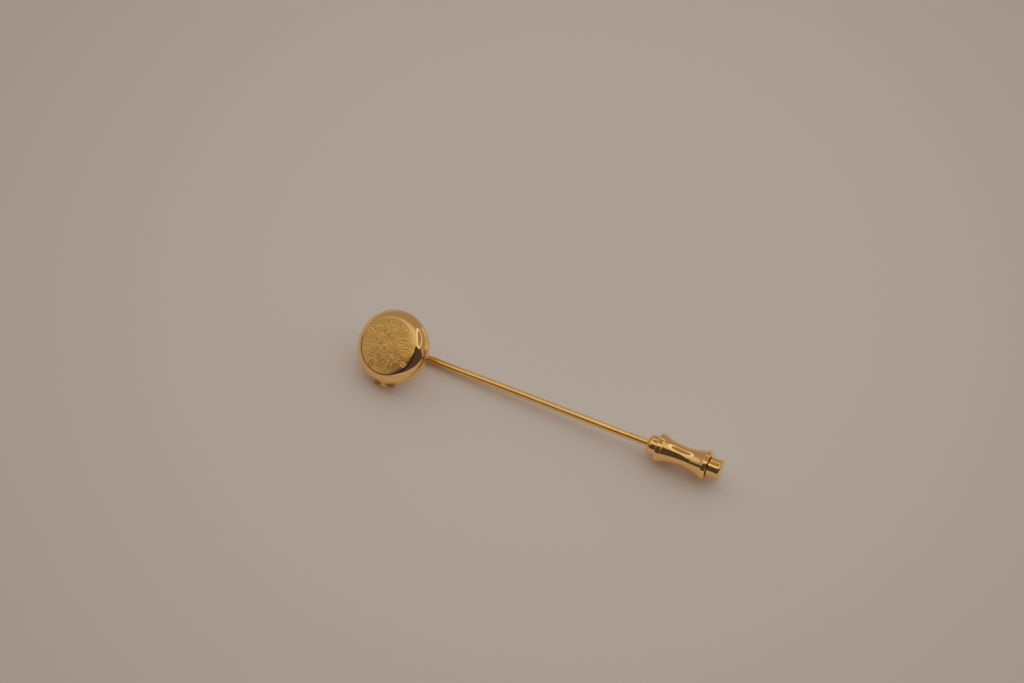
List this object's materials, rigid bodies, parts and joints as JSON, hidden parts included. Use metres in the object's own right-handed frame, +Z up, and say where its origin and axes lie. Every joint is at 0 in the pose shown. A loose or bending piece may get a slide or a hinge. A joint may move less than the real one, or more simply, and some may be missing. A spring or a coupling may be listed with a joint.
{
  "type": "locket hat pin",
  "caption": "Gold-plated hat pin with a round hinged locket head and a pull-knob clutch that caps the point.",
  "frame": {"origin": "middle of the whole pin's box, on the surface that it lies on", "axes": "+X along the wire from the locket to the clutch as seen from above, +Z up, +Y away from the hinge's side"},
  "size_m": [0.0618, 0.0114, 0.0085],
  "materials": {
    "locket_gold": "bright gold plate, engraved on the face",
    "wire_gold": "bright gold plate",
    "clutch_gold": "bright gold plate, turned"
  },
  "bodies": {
    "pin": {"stick_pin": "wire_gold", "locket_back": "locket_gold", "hinge_pin": "locket_gold"},
    "cover": {"locket_cover": "locket_gold"},
    "clutch": {"clutch_body": "clutch_gold"},
    "knob": {"clutch_knob": "clutch_gold"}
  },
  "joints": [
    {"name": "cover_hinge", "type": "hinge", "parent": "pin", "child": "cover", "pos_m": [-0.024, -0.0052, 0.00155], "axis": [0.975, 0.0603, 0.2138], "range_deg": [0, 120]},
    {"name": "clutch_slide", "type": "slide", "parent": "pin", "child": "clutch", "axis": [0.9992, 0, 0.0405], "range_m": [0, 0.016]},
    {"name": "knob_pull", "type": "slide", "parent": "clutch", "child": "knob", "axis": [0.9992, 0, 0.0405], "range_m": [0, 0.0012], "stiffness_N_per_m": 400, "springref_m": -0.001}
  ]
}
